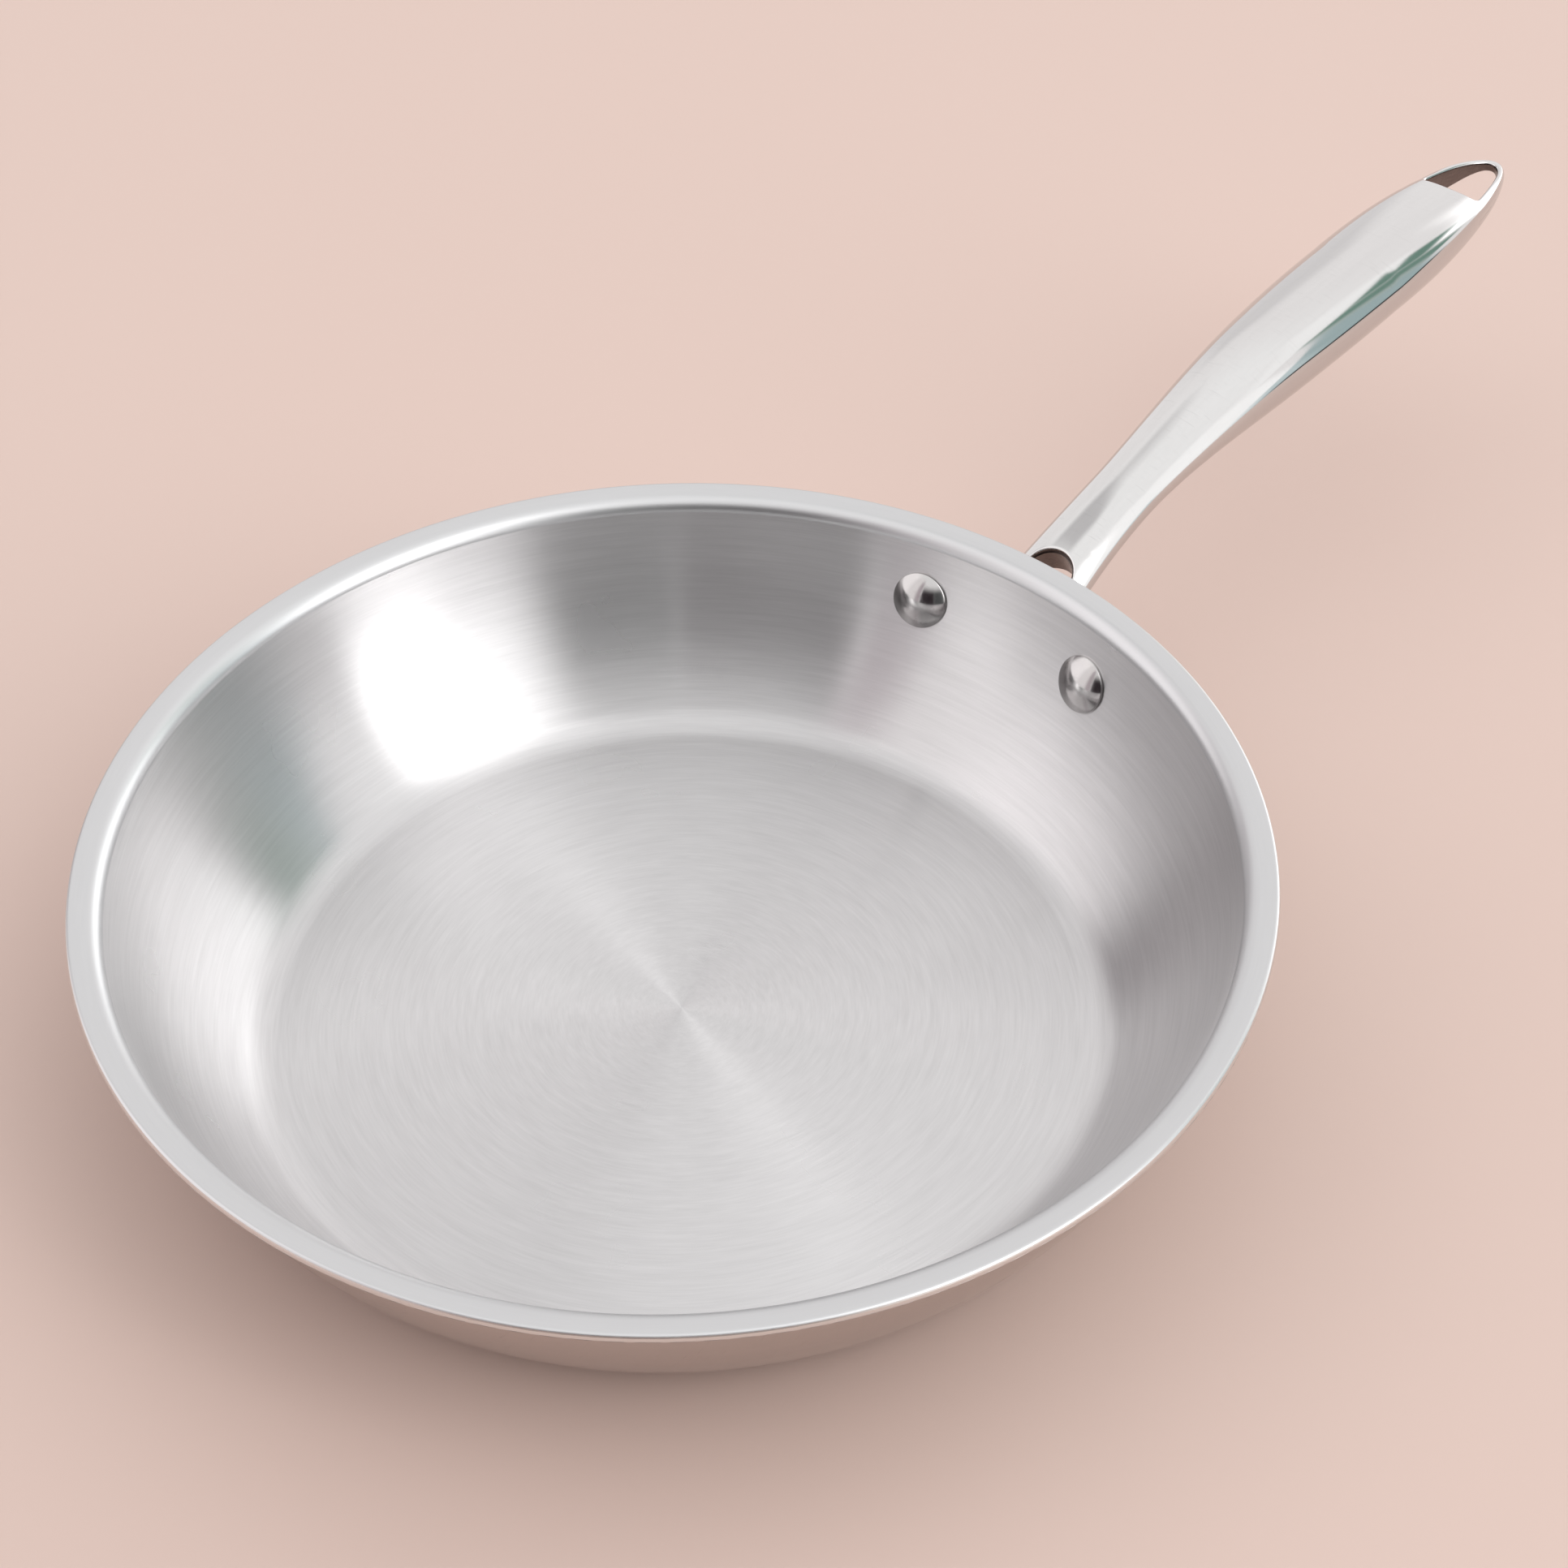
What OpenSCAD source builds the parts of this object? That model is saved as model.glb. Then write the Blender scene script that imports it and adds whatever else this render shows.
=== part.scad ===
// Omelette pan: a clad sheet body with a flared lip, and a hollow riveted handle.
// Millimetres. The origin is the centre of the underside; +Z is up and the handle lies along +X.

/* [Pan] */
// Diameter over the lip
rim_d = 240; // [224:1:300]
// Height from the underside to the top of the lip
pan_h = 48; // [40:1:70]
// Diameter of the flat cooking floor
floor_d = 167; // [130:1:180]
// Radius of the corner between floor and wall, on the cooking side
corner_r = 12; // [6:0.5:16]
// Lean of the wall from upright just under the lip, in degrees
wall_lean = 9; // [0:0.5:18]
// How far the lip stands out beyond the top of the wall
lip_w = 6.8; // [5.5:0.1:10]
// Upward slope of the lip, in degrees
lip_rise = 8; // [0:0.5:20]
// Radius of the bend between wall and lip, on the cooking side
bend_r = 3.5; // [3:0.1:5]

/* [Clad sheet] */
// Thickness of the stainless cooking skin
inner_t = 0.4; // [0.3:0.05:0.6]
// Thickness of the aluminium core
core_t = 1.2; // [0.9:0.05:1.6]
// Thickness of the stainless outer skin
outer_t = 0.4; // [0.3:0.05:0.6]
// Rounding of the lip's cut edge
edge_r = 0.8; // [0.2:0.05:0.9]

/* [Handle line] */
// Reach of the handle beyond the lip
handle_l = 191; // [170:1:230]
// Height of the handle's tip above the top of the lip, at the middle of its thickness
tip_lift = 8.5; // [0:0.5:40]
// Climb of the handle where it leaves the wall, in degrees
root_rise = 33.5; // [25:0.5:40]
// Climb of the handle at its tip, in degrees
tip_rise = 1; // [0:0.5:12]
// How far the root's direction carries before the handle levels off
root_pull = 47; // [36:0.5:56]
// How far back from the tip its direction carries
tip_pull = 90; // [50:1:110]

/* [Handle sections] */
// Width of the neck at its narrowest
neck_w = 16.2; // [15:0.1:20]
// Extra width of the neck where it meets the flange
root_flare = 5.4; // [2:0.2:8]
// Width of the grip at its widest
grip_w = 26.4; // [22:0.1:34]
// Distance of the narrowest place from the lip
neck_at = 33; // [22:1:40]
// Distance of the widest place from the lip
grip_at = 126; // [105:1:140]
// Thickness of the neck
neck_t = 9; // [8.5:0.1:12]
// Thickness of the grip
grip_t = 16.5; // [12:0.1:20]
// Distance of the thickest place from the lip
thick_at = 90; // [75:1:115]
// Thickness of the hanging loop at the tip
tail_t = 1.8; // [1.4:0.1:4]
// Thickness of the sheet that both handle shells are pressed from
shell_t = 1.2; // [0.8:0.05:1.5]

/* [Hanging eye and vent] */
// Length of the handle's end that the hanging eye and its loop take up
eye_l = 23; // [18:0.5:30]
// Width of the loop's band at the tip
strap_w = 2.3; // [1.4:0.1:3]
// Width of the loop's band at its sides, measured at the widest place of the grip
side_w = 3; // [2:0.1:4]
// Radius of the vent hole through the neck
vent_r = 6; // [4.5:0.1:6.1]
// Distance of the vent from the lip, along the pan
vent_at = 5.2; // [4.5:0.1:10]
// Wall of the sleeve that lines the vent
sleeve_t = 0.8; // [0.5:0.1:1]
// Ledge that the sleeve shows inside the vent's edge
sleeve_ledge = 0.4; // [0.2:0.1:0.6]

/* [Flange and rivets] */
// Thickness of the flange
flange_t = 2.5; // [2:0.1:3.5]
// Radius of the flange's rounded ends
wing_r = 8.5; // [7.5:0.1:9]
// Radius of the flange's middle, behind the neck
boss_r = 12; // [11:0.1:12.5]
// Distance between the rivets
rivet_gap = 45; // [40:0.5:56]
// Depth of the rivets below the top of the lip
rivet_drop = 15.8; // [14:0.1:20]
// Diameter of a rivet's polished head
head_d = 12.8; // [10:0.1:14]
// Height of the head's dome
dome_h = 2.3; // [1.5:0.1:3.5]
// Height of the head's thin upright edge
head_edge = 0.5; // [0.2:0.1:1]
// Diameter of a rivet's shank
shank_d = 6; // [4:0.1:7]
// Radial clearance of the shank in its holes
shank_gap = 0.1; // [0.05:0.05:0.3]
// Diameter of the head that is formed on the outside
tail_d = 10.5; // [8:0.1:12]
// Height of the formed head
tail_h = 2; // [1:0.1:3]

/* [Hidden] */
$fn = 96;

// Steps that each arc of the sheet's outline is drawn with
corner_steps = 5;
wall_steps = 14;
bend_steps = 7;
edge_steps = 4;
// Stations along the handle before and inside its loop, and steps across one shell
grip_stations = 26;
loop_stations = 10;
across_steps = 12;

// The sheet's outline is a chain of arcs that meet without a corner: floor, corner, wall, bend, lip.
// An angle is the climb of the outline there, from 0 on the floor to wall_top under the lip.
sheet_t = inner_t + core_t + outer_t;
rim_r = rim_d / 2;
floor_r = floor_d / 2;
wall_top = 90 - wall_lean;
lip_flat = (lip_w - bend_r * (sin(wall_top) - sin(lip_rise))) / cos(lip_rise);
// The lip's upper face would reach this point if its edge weren't rounded
lip_p = [rim_r - (sheet_t - edge_r) * sin(lip_rise), pan_h + edge_r * sin(lip_rise)];
bend_c = lip_p - lip_flat * [cos(lip_rise), sin(lip_rise)] + bend_r * [sin(lip_rise), -cos(lip_rise)];
wall_end = bend_c + bend_r * [-sin(wall_top), cos(wall_top)];
corner_c = [floor_r, sheet_t + corner_r];
// The wall's arc touches the corner's arc and leaves the bend at wall_top, which fixes its radius
span = wall_end - corner_c;
inward = [-sin(wall_top), cos(wall_top)];
wall_r = (span * span - corner_r * corner_r) / (-2 * (span * inward + corner_r));
wall_c = wall_end + wall_r * inward;
wall_foot = acos((wall_c[1] - corner_c[1]) / (wall_r - corner_r));

// A point on the wall at a climb of th, moved d out from the cooking side
function wall_point(th, d) = wall_c + (wall_r + d) * [sin(th), -cos(th)];
// How far the rounding draws the lip's edge back at a depth of d into the sheet
function edge_back(d) = edge_r - sqrt(edge_r * edge_r - pow(max(0, edge_r - min(d, sheet_t - d)), 2));
function lip_end(d) = lip_p - edge_back(d) * [cos(lip_rise), sin(lip_rise)]
                      + d * [sin(lip_rise), -cos(lip_rise)];
// The outline of one face of a layer, at a depth of d into the sheet
function face(d) = concat(
    [[0, sheet_t - d]],
    [for (i = [0:corner_steps - 1]) let (th = wall_foot * i / corner_steps)
        corner_c + (corner_r + d) * [sin(th), -cos(th)]],
    [for (i = [0:wall_steps - 1]) wall_point(wall_foot + (wall_top - wall_foot) * i / wall_steps, d)],
    [for (i = [0:bend_steps]) let (th = wall_top + (lip_rise - wall_top) * i / bend_steps)
        bend_c + (bend_r - d) * [-sin(th), cos(th)]],
    [lip_end(d)]);
// The wall's part of that outline by itself
function wall_line(d) = [for (i = [0:wall_steps])
    wall_point(wall_foot + (wall_top - wall_foot) * i / wall_steps, d)];
function backwards(list) = [for (i = [len(list) - 1:-1:0]) list[i]];

// The rivets stand square to the wall at this climb and turn this far to each side of the handle
rivet_th = acos((wall_c[1] - (pan_h - rivet_drop)) / wall_r);
rivet_p = wall_point(rivet_th, 0);
rivet_turn = asin(rivet_gap / 2 / rivet_p[0]);
// A flat head on the hollow side of the wall rests on its rim, this far off the wall at its middle
head_seat = head_d * head_d / 8 / wall_r;
joint_t = sheet_t + flange_t;

// The handle's middle line is one cubic curve from inside the wall to the tip
root_in = 6;
root_p = wall_point(rivet_th, sheet_t);
line_0 = root_p - root_in * [cos(root_rise), sin(root_rise)];
line_1 = root_p + root_pull * [cos(root_rise), sin(root_rise)];
line_3 = [rim_r + handle_l, pan_h + tip_lift];
line_2 = line_3 - tip_pull * [cos(tip_rise), sin(tip_rise)];
function line(t) = pow(1 - t, 3) * line_0 + 3 * t * pow(1 - t, 2) * line_1
                   + 3 * t * t * (1 - t) * line_2 + pow(t, 3) * line_3;
function slope(t) = pow(1 - t, 2) * (line_1 - line_0) + 2 * t * (1 - t) * (line_2 - line_1)
                    + t * t * (line_3 - line_2);
function along(t) = slope(t) / norm(slope(t));
// The place on the middle line whose x is given, found by halving
halvings = 26;
function t_at(x, lo = 0, hi = 1, n = halvings) = let (mid = (lo + hi) / 2)
    n == 0 ? mid : line(mid)[0] < x ? t_at(x, mid, hi, n - 1) : t_at(x, lo, mid, n - 1);

tip_x = rim_r + handle_l;
neck_x = rim_r + neck_at;
grip_x = rim_r + grip_at;
thick_x = rim_r + thick_at;
eye_x = tip_x - eye_l;
// Plan of the handle: flared at the root, a smooth swell to the grip, then half an ellipse
swell_ease = 0.75;
function swell(x) = pow(sin(90 * pow((x - neck_x) / (grip_x - neck_x), swell_ease)), 2);
function half_w(x) = x < neck_x ? (neck_w + root_flare * pow((neck_x - x) / (neck_x - root_p[0]), 2)) / 2
    : x < grip_x ? (neck_w + (grip_w - neck_w) * swell(x)) / 2
    : grip_w / 2 * sqrt(max(0, 1 - pow((x - grip_x) / (tip_x - grip_x), 2)));
// Thickness: level along the neck, fullest at the grip, then drawn down to the loop
tail_ease = 1.6;
function tail(x) = cos(90 * pow(min(1, (x - thick_x) / (tip_x - thick_x)), tail_ease));
function half_t(x) = x < neck_x ? neck_t / 2
    : x < thick_x ? (neck_t + (grip_t - neck_t) * pow(sin(90 * (x - neck_x) / (thick_x - neck_x)), 2)) / 2
    : (tail_t + (grip_t - tail_t) * tail(x)) / 2;
// The cross section is an oval that squares up towards the loop
oval_order = 2.25;
loop_order = 4;
function order(x) = oval_order + (loop_order - oval_order) * max(0, (x - grip_x) / (tip_x - grip_x));
// A point of the cross section with half axes a and b, at the angle q; b < 0 is the underside
function section(t, q, a, b) = let (p = line(t), d = along(t), e = 2 / order(p[0]),
    y = a * sign(cos(q)) * pow(abs(cos(q)), e), h = b * pow(abs(sin(q)), e))
    [p[0] - d[1] * h, y, p[1] + d[0] * h];
// A point of a shell's face, an inset of 0 being its outside
function shell_point(t, q, side, inset) = let (x = line(t)[0])
    section(t, q, half_w(x) - inset, side * (half_t(x) - inset));

// The root of each shell follows the flange: the place where a shell's face meets it at the angle q
root_share = 0.25;
function off_flange(p) = norm([norm([p[0], p[1]]), p[2]] - wall_c) - wall_r - joint_t;
function t_root(q, side, inset, lo = 0, hi = root_share, n = halvings) = let (mid = (lo + hi) / 2)
    n == 0 ? mid : off_flange(shell_point(mid, q, side, inset)) < 0
        ? t_root(q, side, inset, mid, hi, n - 1) : t_root(q, side, inset, lo, mid, n - 1);

// Stations: even from the root to the end of the hollow, then closing up towards the rounded tip
hollow_end = t_at(eye_x - strap_w);
step_in = 0.001;
tip_share = 0.9995;
gather = 1.8;
loop_ts = [for (i = [0:loop_stations])
    hollow_end + step_in + (tip_share - hollow_end - step_in) * (1 - pow(1 - i / loop_stations, gather))];

// The rings of a shell, each running across its outside and back across its inside.
// Past the hollow the inside lies flat on the joint, so the loop is solid there.
function shell_rings(side) = let (
    angles = [for (i = [0:across_steps]) 180 * i / across_steps],
    out_roots = [for (q = angles) t_root(q, side, 0)],
    in_roots = [for (q = angles) t_root(q, side, shell_t)])
    concat(
        [for (k = [0:grip_stations]) let (u = k / grip_stations) concat(
            [for (i = [0:across_steps])
                shell_point(out_roots[i] + u * (hollow_end - out_roots[i]), angles[i], side, 0)],
            [for (i = [across_steps:-1:0])
                shell_point(in_roots[i] + u * (hollow_end - in_roots[i]), angles[i], side, shell_t)])],
        [for (t = loop_ts) concat(
            [for (q = angles) shell_point(t, q, side, 0)],
            [for (i = [across_steps:-1:0]) let (p = line(t))
                [p[0], half_w(p[0]) * (0.5 - i / across_steps), p[1]]])]);

// A skin over a list of rings that have the same number of points.
// Each ring runs out along one edge and back along the other, so its end is closed by a strip.
module loft(rings, flip) {
    n = len(rings[0]);
    last = (len(rings) - 1) * n;
    sides = [for (k = [0:n:last - n]) for (i = [0:n - 1]) let (j = (i + 1) % n)
        each [[k + i, k + j, k + n + j], [k + i, k + n + j, k + n + i]]];
    ends = [for (i = [0:n / 2 - 2]) let (j = n - 1 - i, a = last + i, b = last + j)
        each concat([[j, j - 1, i + 1], [j, i + 1, i]],
                    i < n / 4 - 1 ? [[a, a + 1, b], [a + 1, b - 1, b]] : [[a, a + 1, b - 1], [a, b - 1, b]])];
    faces = concat(sides, ends);
    polyhedron([for (r = rings) each r], flip ? [for (f = faces) backwards(f)] : faces);
}

// One layer of the clad sheet, from depth d0 to depth d1
module layer(d0, d1) {
    rotate_extrude()
        polygon(concat(
            face(d0),
            [for (i = [1:edge_steps - 1]) lip_end(d0 + (d1 - d0) * i / edge_steps)],
            backwards(face(d1))));
}

module at_rivet(side) {
    rotate([0, 0, side * rivet_turn])
        translate([rivet_p[0], 0, rivet_p[1]])
            rotate([0, 180 - rivet_th, 0])
                children();
}

module rivet_holes() {
    for (side = [-1, 1])
        at_rivet(side)
            translate([0, 0, -joint_t])
                cylinder(r = shank_d / 2 + shank_gap, h = 3 * joint_t);
}

// The vent runs square to the neck's middle line
vent_t = t_at(rim_r + vent_at);
module at_vent() {
    translate([line(vent_t)[0], 0, line(vent_t)[1]])
        rotate([0, -atan2(along(vent_t)[1], along(vent_t)[0]), 0])
            children();
}

// The eye is half an ellipse inside the plan of the loop, cut straight across at its near end
eye_steps = 12;
eye_reach = tip_x - strap_w - grip_x;
function eye_half_w(x) = (grip_w / 2 - side_w) * sqrt(max(0, 1 - pow((x - grip_x) / eye_reach, 2)));
eye_edge = [for (i = [0:eye_steps]) let (x = eye_x + (grip_x + eye_reach - eye_x) * sin(90 * i / eye_steps))
    [x, eye_half_w(x)]];
module eye_cut() {
    translate([0, 0, pan_h + tip_lift - grip_t])
        linear_extrude(2 * grip_t)
            polygon(concat(eye_edge, [for (p = backwards(eye_edge)) if (p[1] > 0) [p[0], -p[1]]]));
}

module shell(side) {
    difference() {
        loft(shell_rings(side), side > 0);
        eye_cut();
        at_vent()
            translate([0, 0, side > 0 ? 0 : -grip_t])
                cylinder(r = vent_r, h = grip_t);
    }
}

// Stainless skin that the food touches, brushed in rings
module cooking_skin() {
    color([0.80, 0.79, 0.79])
        difference() {
            layer(0, inner_t);
            rivet_holes();
        }
}

// Aluminium layer that spreads the heat, bonded between the skins
module aluminium_core() {
    color([0.86, 0.87, 0.88])
        difference() {
            layer(inner_t, inner_t + core_t);
            rivet_holes();
        }
}

// Stainless outer skin, polished, which the pan stands on
module outer_skin() {
    color([0.70, 0.68, 0.68])
        difference() {
            layer(inner_t + core_t, sheet_t);
            rivet_holes();
        }
}

// Upper pressing of the hollow handle, with the upper half of the loop
module handle_top_shell() {
    color([0.84, 0.84, 0.85])
        shell(1);
}

// Lower pressing of the hollow handle, welded to the upper one along its widest line
module handle_bottom_shell() {
    color([0.74, 0.71, 0.70])
        shell(-1);
}

// Short tube between the shells that keeps the vent closed off from the hollow handle
module vent_sleeve() {
    sleeve_r = vent_r - sleeve_ledge;
    color([0.60, 0.58, 0.57])
        intersection() {
            at_vent()
                difference() {
                    translate([0, 0, -neck_t / 2])
                        cylinder(r = sleeve_r + sleeve_t, h = neck_t);
                    translate([0, 0, -neck_t])
                        cylinder(r = sleeve_r, h = 2 * neck_t);
                }
            loft([for (t = [0, t_at(rim_r + vent_at), t_at(neck_x)])
                [for (q = [0:15:345]) shell_point(t, q, q > 180 ? -1 : 1, shell_t)]], true);
        }
}

// Flange that the handle is welded to, curved to the wall and held by the rivets
module handle_flange() {
    flange_reach = rim_r + joint_t;
    color([0.66, 0.65, 0.65])
        difference() {
            intersection() {
                rotate_extrude()
                    polygon(concat(wall_line(sheet_t), backwards(wall_line(joint_t))));
                translate([0, 0, pan_h - rivet_drop])
                    rotate([90, 0, 90])
                        linear_extrude(flange_reach)
                            union() {
                                for (side = [-1, 1])
                                    translate([side * rivet_gap / 2, 0])
                                        circle(r = wing_r);
                                square([rivet_gap, 2 * wing_r], center = true);
                                circle(r = boss_r);
                            }
            }
            rivet_holes();
        }
}

// Solid stainless rivet: polished head inside the pan, shank, and the head formed outside
module rivet(side) {
    head_h = head_edge + dome_h;
    head_ball = (head_d * head_d / 4 + dome_h * dome_h) / 2 / dome_h;
    tail_ball = (tail_d * tail_d / 4 + tail_h * tail_h) / 2 / tail_h;
    color([0.78, 0.76, 0.76])
        at_rivet(side)
            union() {
                intersection() {
                    translate([0, 0, -head_seat - head_h + head_ball])
                        sphere(r = head_ball);
                    translate([0, 0, -head_seat - head_h])
                        cylinder(r = head_d / 2, h = head_h);
                }
                translate([0, 0, -head_seat - head_edge])
                    cylinder(r = shank_d / 2, h = head_seat + head_edge + joint_t + tail_h / 2);
                intersection() {
                    translate([0, 0, joint_t + tail_h - tail_ball])
                        sphere(r = tail_ball);
                    translate([0, 0, joint_t])
                        cylinder(r = tail_d / 2, h = tail_h);
                }
            }
}

module rivet_left() {
    rivet(1);
}

module rivet_right() {
    rivet(-1);
}

cooking_skin();
aluminium_core();
outer_skin();
handle_top_shell();
handle_bottom_shell();
vent_sleeve();
handle_flange();
rivet_left();
rivet_right();
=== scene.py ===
import bmesh
import bpy
import numpy as np
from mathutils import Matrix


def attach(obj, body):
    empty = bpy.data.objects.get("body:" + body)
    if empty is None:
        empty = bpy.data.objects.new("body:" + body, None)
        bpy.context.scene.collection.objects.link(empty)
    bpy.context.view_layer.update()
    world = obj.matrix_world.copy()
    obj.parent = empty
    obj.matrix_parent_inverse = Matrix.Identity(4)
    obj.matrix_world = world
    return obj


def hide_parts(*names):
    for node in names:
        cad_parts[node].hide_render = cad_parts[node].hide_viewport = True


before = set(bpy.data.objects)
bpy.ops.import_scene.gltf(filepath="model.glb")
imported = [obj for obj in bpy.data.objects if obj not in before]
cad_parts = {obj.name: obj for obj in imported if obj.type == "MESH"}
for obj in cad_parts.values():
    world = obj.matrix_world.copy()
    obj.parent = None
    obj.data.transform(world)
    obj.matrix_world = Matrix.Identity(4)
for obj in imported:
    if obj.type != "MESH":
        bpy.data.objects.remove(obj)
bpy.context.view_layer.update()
scene = bpy.context.scene
scene.view_settings.view_transform = "Standard"


# The view
# A short telephoto at arm's length, 44 degrees above the table, with the handle going away to the
# right.
lens = bpy.data.cameras.new("camera")
lens.lens = 72.62
lens.sensor_width = 36
camera = bpy.data.objects.new("camera", lens)
camera.location = (-0.32746, -0.31293, 0.48653)
camera.rotation_euler = np.radians((47.055, 0.585, -49.641))
scene.collection.objects.link(camera)
scene.camera = camera


# Cooking skin
# The stainless layer that the food touches, 0.4 mm thick: drawn into a bowl with a flared lip, then
# spun against an abrasive, so fine rings run round the floor and wall. The lip is blasted matt.
# Lengths are in millimetres, and the wall leans out by 9 degrees.
rim_r, pan_h, floor_r = 120, 48, 83.5
corner_r, wall_lean = 12, 9
lip_w, lip_rise, bend_r = 6.8, np.radians(8), 3.5
inner_t, core_t, outer_t, edge_r = 0.4, 1.2, 0.4, 0.8
sheet_t = inner_t + core_t + outer_t


def outward(th):
    """Unit vector that points out of the bowl where the outline climbs at th: (sin th, -cos th)."""
    return np.stack([np.sin(th), -np.cos(th)], -1)


# The outline is a chain of arcs that touch: floor, corner, wall, bend, lip
wall_top = np.radians(90 - wall_lean)
lip_flat = (lip_w - bend_r * (np.sin(wall_top) - np.sin(lip_rise))) / np.cos(lip_rise)
lip_run = np.array([np.cos(lip_rise), np.sin(lip_rise)])
lip_p = np.array([rim_r - (sheet_t - edge_r) * np.sin(lip_rise), pan_h + edge_r * np.sin(lip_rise)])
bend_c = lip_p - lip_flat * lip_run + bend_r * outward(lip_rise)
wall_end = bend_c - bend_r * outward(wall_top)
corner_c = np.array([floor_r, sheet_t + corner_r])
span = wall_end - corner_c
wall_r = (span @ span - corner_r ** 2) / (2 * (span @ outward(wall_top) - corner_r))
wall_c = wall_end - wall_r * outward(wall_top)
wall_foot = np.arccos((wall_c[1] - corner_c[1]) / (wall_r - corner_r))


def lip_end(depth):
    """End of the lip at a depth into the sheet, drawn back by a quarter circle of radius edge_r at
    each face."""
    depth = np.asarray(depth, float)
    into = np.clip(edge_r - np.minimum(depth, sheet_t - depth), 0, edge_r)
    back = edge_r - np.sqrt(edge_r ** 2 - into ** 2)
    return lip_p - back[..., None] * lip_run + depth[..., None] * outward(lip_rise)


def sheet_face(depth, fine):
    """Outline (r, z) of the sheet at a depth from the cooking side: centre c + (R + depth)
    outward(th) on each arc."""
    floor = np.stack([np.linspace(0, floor_r, 2 * fine, endpoint=False),
                      np.full(2 * fine, sheet_t - depth)], -1)
    corner_th = np.linspace(0, wall_foot, fine, endpoint=False)
    wall_th = np.linspace(wall_foot, wall_top, 2 * fine, endpoint=False)
    bend_th = np.linspace(wall_top, lip_rise, fine)
    corner = corner_c + (corner_r + depth) * outward(corner_th)
    wall = wall_c + (wall_r + depth) * outward(wall_th)
    bend = bend_c - (bend_r - depth) * outward(bend_th)
    return np.concatenate([floor, corner, wall, bend])


def layer_outline(d0, d1, fine0, fine1):
    """Closed outline of one layer: out along depth d0, round the lip's edge, back along depth d1."""
    ends = lip_end(d0 + (d1 - d0) * (1 - np.cos(np.linspace(0, np.pi, 9))) / 2)
    return np.concatenate([sheet_face(d0, fine0), ends, sheet_face(d1, fine1)[::-1]])


uv_mm = 100


def spin(outline, turns=240):
    """Surface of revolution: the point (r, z) goes to (r cos a, r sin a, z). Its UV is the run along
    the outline, in units of uv_mm, and the turn."""
    a = np.linspace(0, 2 * np.pi, turns + 1)
    a[-1] = 0
    r, z = outline[:, 0], outline[:, 1]
    level = np.broadcast_to(z, (turns + 1, len(z)))
    points = np.stack([np.outer(np.cos(a), r), np.outer(np.sin(a), r), level], -1)
    run = np.r_[0, np.cumsum(np.hypot(*np.diff(outline, axis=0).T))]
    uv = np.stack(np.broadcast_arrays(run / uv_mm, np.linspace(0, 1, turns + 1)[:, None]), -1)
    return points, uv


def make_piece(name, sheets):
    """One closed mesh from grids of (points in mm, uv). Points that share a cell of half a
    micrometre become one, faces turn outwards, and edges sharper than the crease stay sharp."""
    cells_per_m, crease = 2e6, np.radians(38)
    points, uvs, faces, first = [], [], [], 0
    for grid, uv in sheets:
        rows, columns = grid.shape[:2]
        at = first + np.arange(rows * columns).reshape(rows, columns)
        a, b, c, d = at[:-1, :-1], at[1:, :-1], at[1:, 1:], at[:-1, 1:]
        faces.append(np.stack([a, b, c, a, c, d], -1).reshape(-1, 3))
        points.append(grid.reshape(-1, 3) / 1000)
        uvs.append(uv.reshape(-1, 2))
        first += rows * columns
    points, uvs, faces = map(np.concatenate, (points, uvs, faces))
    cells = np.round(points * cells_per_m).astype(np.int64)
    _, keep, same = np.unique(cells, axis=0, return_index=True, return_inverse=True)
    welded = same.reshape(-1)[faces]
    whole = (welded != np.roll(welded, 1, 1)).all(1)
    mesh = bpy.data.meshes.new(name)
    mesh.from_pydata(points[keep].tolist(), [], welded[whole].tolist())
    mesh.uv_layers.new(name="run").data.foreach_set("uv", uvs[faces[whole]].ravel())
    work = bmesh.new()
    work.from_mesh(mesh)
    bmesh.ops.recalc_face_normals(work, faces=work.faces)
    work.to_mesh(mesh)
    work.free()
    mesh.polygons.foreach_set("use_smooth", np.ones(len(mesh.polygons), bool))
    mesh.set_sharp_from_angle(angle=crease)
    piece = bpy.data.objects.new(name, mesh)
    scene.collection.objects.link(piece)
    return piece


def add_node(tree, kind, links=(), **settings):
    """A node of a tree with its settings, its inputs set from values or linked from other nodes'
    outputs."""
    node = tree.nodes.new(kind)
    for key, value in settings.items():
        setattr(node, key, value)
    for socket, value in dict(links).items():
        if isinstance(value, bpy.types.NodeSocket):
            tree.links.new(value, node.inputs[socket])
        else:
            node.inputs[socket].default_value = value
    return node


def new_group(name, numbers, outputs):
    """An empty node group with number inputs and the outputs named, and its two end nodes."""
    tree = bpy.data.node_groups.new(name, "ShaderNodeTree")
    for socket in numbers:
        tree.interface.new_socket(socket, in_out="INPUT", socket_type="NodeSocketFloat")
    for socket in outputs:
        tree.interface.new_socket(socket, in_out="OUTPUT", socket_type="NodeSocketFloat")
    return tree, tree.nodes.new("NodeGroupInput").outputs, tree.nodes.new("NodeGroupOutput").inputs


def math_node(tree, operation, a, b=0.0):
    """The output of a node that works out one operation on a and b, each a number or a socket."""
    return add_node(tree, "ShaderNodeMath", {0: a, 1: b}, operation=operation).outputs[0]


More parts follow.
